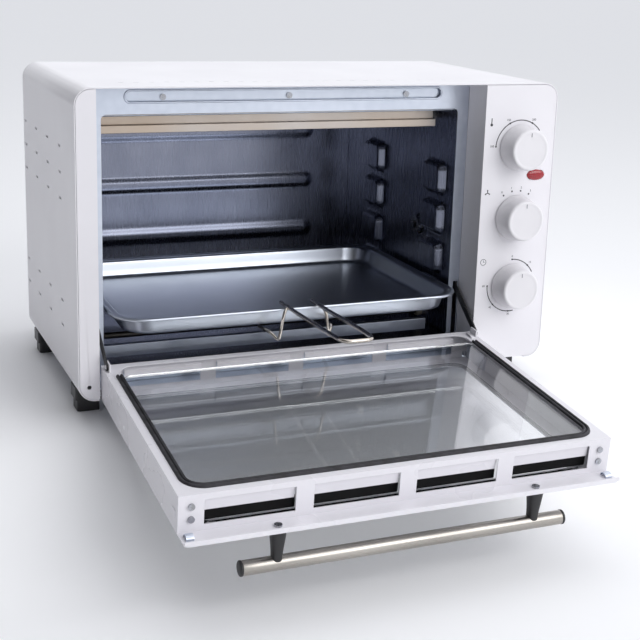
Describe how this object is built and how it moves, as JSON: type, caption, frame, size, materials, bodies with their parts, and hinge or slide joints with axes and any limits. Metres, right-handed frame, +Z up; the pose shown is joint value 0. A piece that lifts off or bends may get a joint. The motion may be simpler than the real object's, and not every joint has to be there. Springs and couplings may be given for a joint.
{
  "type": "rotisserie oven",
  "caption": "Countertop rotisserie oven with a drop-down glazed door, bar handle, side control panel, baking tray and wire tray handle.",
  "frame": {"origin": "on the plane of the feet's undersides, under the middle of the wrapped casing", "axes": "+Z up; +Y from the front to the back, so the door opens towards -Y; +X to the user's right, where the control panel is"},
  "size_m": [0.5, 0.6072, 0.3575],
  "materials": {
    "white_enamel": "satin powder-coated steel",
    "door_enamel": "satin powder-coated steel",
    "panel_enamel": "satin powder-coated steel",
    "galvanised_steel": "bright galvanised sheet",
    "liner_steel": "aluminised sheet",
    "guard_steel": "bright sheet",
    "tray_steel": "pressed tinplate",
    "chrome_wire": "nickel-plated wire",
    "heater_steel": "oxidised sheath",
    "ceramic": "steatite ceramic",
    "black_plastic": "moulded",
    "black_metal": "black steel",
    "white_plastic": "moulded",
    "red_lens": "clear moulded",
    "glass": "tempered float",
    "seal_rubber": "moulded silicone",
    "bar_steel": "brushed",
    "screw_steel": "nickel-plated",
    "brass_metal": "plain",
    "spring_steel": "drawn"
  },
  "bodies": {
    "casing": {"outer_shell": "white_enamel", "base_plate": "galvanised_steel", "rear_cover": "white_enamel", "front_left_foot": "black_plastic", "front_right_foot": "black_plastic", "rear_left_foot": "black_plastic", "rear_right_foot": "black_plastic", "foot_screws": "screw_steel", "cord_gland": "black_plastic", "rear_screws": "screw_steel", "left_column": "white_enamel", "control_panel": "panel_enamel", "front_frame": "galvanised_steel", "frame_screws": "screw_steel", "cavity_left_wall": "liner_steel", "cavity_right_wall": "liner_steel", "cavity_back_wall": "liner_steel", "cavity_top_wall": "liner_steel", "cavity_floor": "liner_steel", "crumb_tray": "liner_steel", "upper_heaters": "heater_steel", "lower_heaters": "heater_steel", "heater_insulators": "ceramic", "upper_heater_guard": "guard_steel", "lower_heater_guard": "guard_steel", "spit_motor": "galvanised_steel", "spit_support": "guard_steel", "control_bracket": "galvanised_steel", "timer_clock": "galvanised_steel", "function_switch": "black_plastic", "thermostat": "ceramic", "lamp_lens": "red_lens", "lamp_holder": "black_plastic", "terminal_block": "ceramic", "hinge_pins": "screw_steel", "stay_springs": "spring_steel"},
    "door": {"door_skin": "door_enamel", "door_frame": "door_enamel", "inner_glass": "glass", "outer_glass": "glass", "door_seal": "seal_rubber", "hinge_tabs": "galvanised_steel", "door_screws": "screw_steel", "handle_bar": "bar_steel", "handle_end_caps": "black_plastic", "left_handle_post": "black_plastic", "right_handle_post": "black_plastic", "handle_screws": "screw_steel", "stay_brackets": "white_enamel"},
    "left_stay": {"left_stay": "black_metal"},
    "right_stay": {"right_stay": "black_metal"},
    "baking_tray": {"baking_tray": "tray_steel"},
    "tray_handle": {"tray_handle": "chrome_wire"},
    "temperature_knob": {"temperature_knob": "white_plastic", "temperature_shaft": "brass_metal"},
    "function_knob": {"function_knob": "white_plastic", "function_shaft": "brass_metal"},
    "timer_knob": {"timer_knob": "white_plastic", "timer_shaft": "brass_metal"},
    "drive_socket": {"drive_socket": "screw_steel"}
  },
  "joints": [
    {"name": "door_hinge", "type": "hinge", "parent": "casing", "child": "door", "pos_m": [-0.032, -0.1249, 0.03035], "axis": [-1, 0, 0], "range_deg": [0, 95.3]},
    {"name": "left_stay_pivot", "type": "hinge", "parent": "door", "child": "left_stay", "pos_m": [-0.226, -0.14267, 0.06064], "axis": [-1, 0, 0], "range_deg": [-76, 0]},
    {"name": "right_stay_pivot", "type": "hinge", "parent": "door", "child": "right_stay", "pos_m": [0.16245, -0.14267, 0.06064], "axis": [-1, 0, 0], "range_deg": [-76, 0]},
    {"name": "tray_slide", "type": "slide", "parent": "casing", "child": "baking_tray", "axis": [0, 1, 0], "range_m": [0, 0.071]},
    {"name": "tray_handle_tip", "type": "hinge", "parent": "baking_tray", "child": "tray_handle", "pos_m": [-0.032, -0.124, 0.1044], "axis": [-1, 0, 0], "range_deg": [0, 100]},
    {"name": "temperature_turn", "type": "hinge", "parent": "casing", "child": "temperature_knob", "pos_m": [0.20813, -0.131, 0.2517], "axis": [0, 1, 0], "range_deg": [0, 270]},
    {"name": "function_turn", "type": "hinge", "parent": "casing", "child": "function_knob", "pos_m": [0.20813, -0.131, 0.1785], "axis": [0, 1, 0], "range_deg": [0, 180]},
    {"name": "timer_turn", "type": "hinge", "parent": "casing", "child": "timer_knob", "pos_m": [0.20813, -0.131, 0.1053], "axis": [0, 1, 0], "range_deg": [0, 300]},
    {"name": "spit_drive", "type": "hinge", "parent": "casing", "child": "drive_socket", "pos_m": [0.158, -0.012, 0.15], "axis": [1, 0, 0], "continuous": true}
  ],
  "couplings": [
    {"joint": "left_stay_pivot", "follows": "door_hinge", "ratio": -0.79},
    {"joint": "right_stay_pivot", "follows": "door_hinge", "ratio": -0.79},
    {"joint": "tray_slide", "follows": "door_hinge", "m_per_rad": 0.04239},
    {"joint": "tray_handle_tip", "follows": "door_hinge", "ratio": 1.045}
  ]
}
